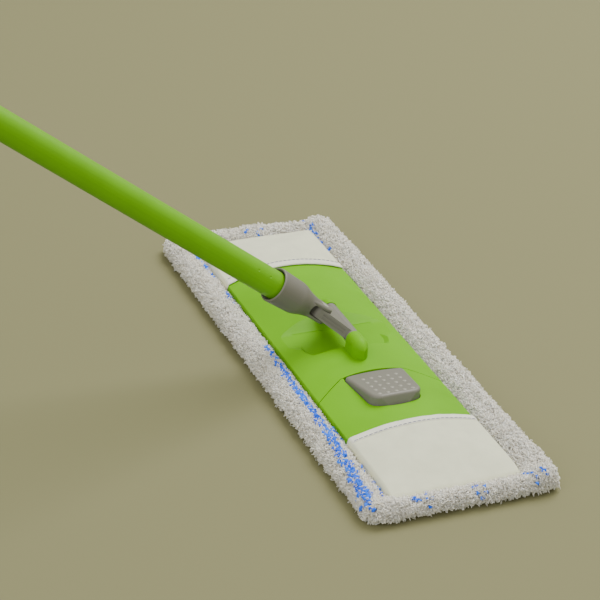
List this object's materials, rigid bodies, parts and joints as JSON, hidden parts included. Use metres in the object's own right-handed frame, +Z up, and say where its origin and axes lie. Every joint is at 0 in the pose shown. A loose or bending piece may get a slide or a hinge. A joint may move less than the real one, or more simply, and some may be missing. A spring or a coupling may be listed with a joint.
{
  "type": "flat mop",
  "caption": "Flat floor mop: folding base plate with a release pedal, removable looped pad with end pockets, universal joint and telescopic handle.",
  "frame": {"origin": "centre of the underside of the mop cover, on the floor", "axes": "+Z up; X along the head, +X towards the pedal end; the handle leans back to -Y"},
  "size_m": [0.421, 1.0696, 0.7809],
  "materials": {
    "plate_plastic": "satin",
    "grey_plastic": "matte",
    "green_tube": "satin",
    "grey_tube": "satin",
    "dark_plastic": "matte",
    "grip_rubber": "matte",
    "steel_pin": "brushed",
    "spring_steel": "brushed",
    "rivet": "satin",
    "loop_pile": "looped pile",
    "backing_cloth": "plain weave",
    "pocket_cloth": "plain weave"
  },
  "bodies": {
    "handle_upper": {"upper_tube": "grey_tube", "guide_bush": "dark_plastic", "grip_sleeve": "grip_rubber", "hang_cap": "dark_plastic"},
    "handle_lower": {"lower_tube": "green_tube", "clamp_collet": "dark_plastic", "pole_socket": "grey_plastic", "fork_pin": "rivet"},
    "lock_collar": {"lock_nut": "dark_plastic"},
    "link": {"joint_link": "grey_plastic"},
    "plate_main": {"main_plate": "plate_plastic", "base_pin": "steel_pin", "fold_pins": "steel_pin", "loop_pad_main": "loop_pile", "backing_main": "backing_cloth", "pocket_far": "pocket_cloth"},
    "plate_flap": {"flap_plate": "plate_plastic", "pedal_pin": "steel_pin", "pedal_spring": "spring_steel", "loop_pad_flap": "loop_pile", "backing_flap": "backing_cloth", "pocket_near": "pocket_cloth"},
    "pedal_lever": {"pedal": "grey_plastic"}
  },
  "joints": [
    {"name": "telescope", "type": "slide", "parent": "handle_upper", "child": "handle_lower", "axis": [0, -0.7986, 0.6018], "range_m": [-0.1, 0.36]},
    {"name": "nut_turn", "type": "hinge", "parent": "handle_lower", "child": "lock_collar", "pos_m": [-0.009, 0, 0.0299], "axis": [0, -0.7986, 0.6018], "range_deg": [0, 90]},
    {"name": "handle_swing", "type": "hinge", "parent": "handle_lower", "child": "link", "pos_m": [-0.009, -0.02076, 0.04555], "axis": [0, 0.6018, 0.7986], "range_deg": [-60, 60]},
    {"name": "handle_tilt", "type": "hinge", "parent": "link", "child": "plate_main", "pos_m": [-0.009, 0, 0.0299], "axis": [1, 0, 0], "range_deg": [-27, 133]},
    {"name": "head_fold", "type": "hinge", "parent": "plate_main", "child": "plate_flap", "pos_m": [0.067, 0, 0.0095], "axis": [0, 1, 0], "range_deg": [0, 75]},
    {"name": "pedal_press", "type": "hinge", "parent": "plate_flap", "child": "pedal_lever", "pos_m": [0.0555, 0, 0.0125], "axis": [0, 1, 0], "range_deg": [0, 4], "stiffness_Nm_per_rad": 1.5, "springref_deg": -5.73, "deforming": ["pedal_spring"]}
  ]
}
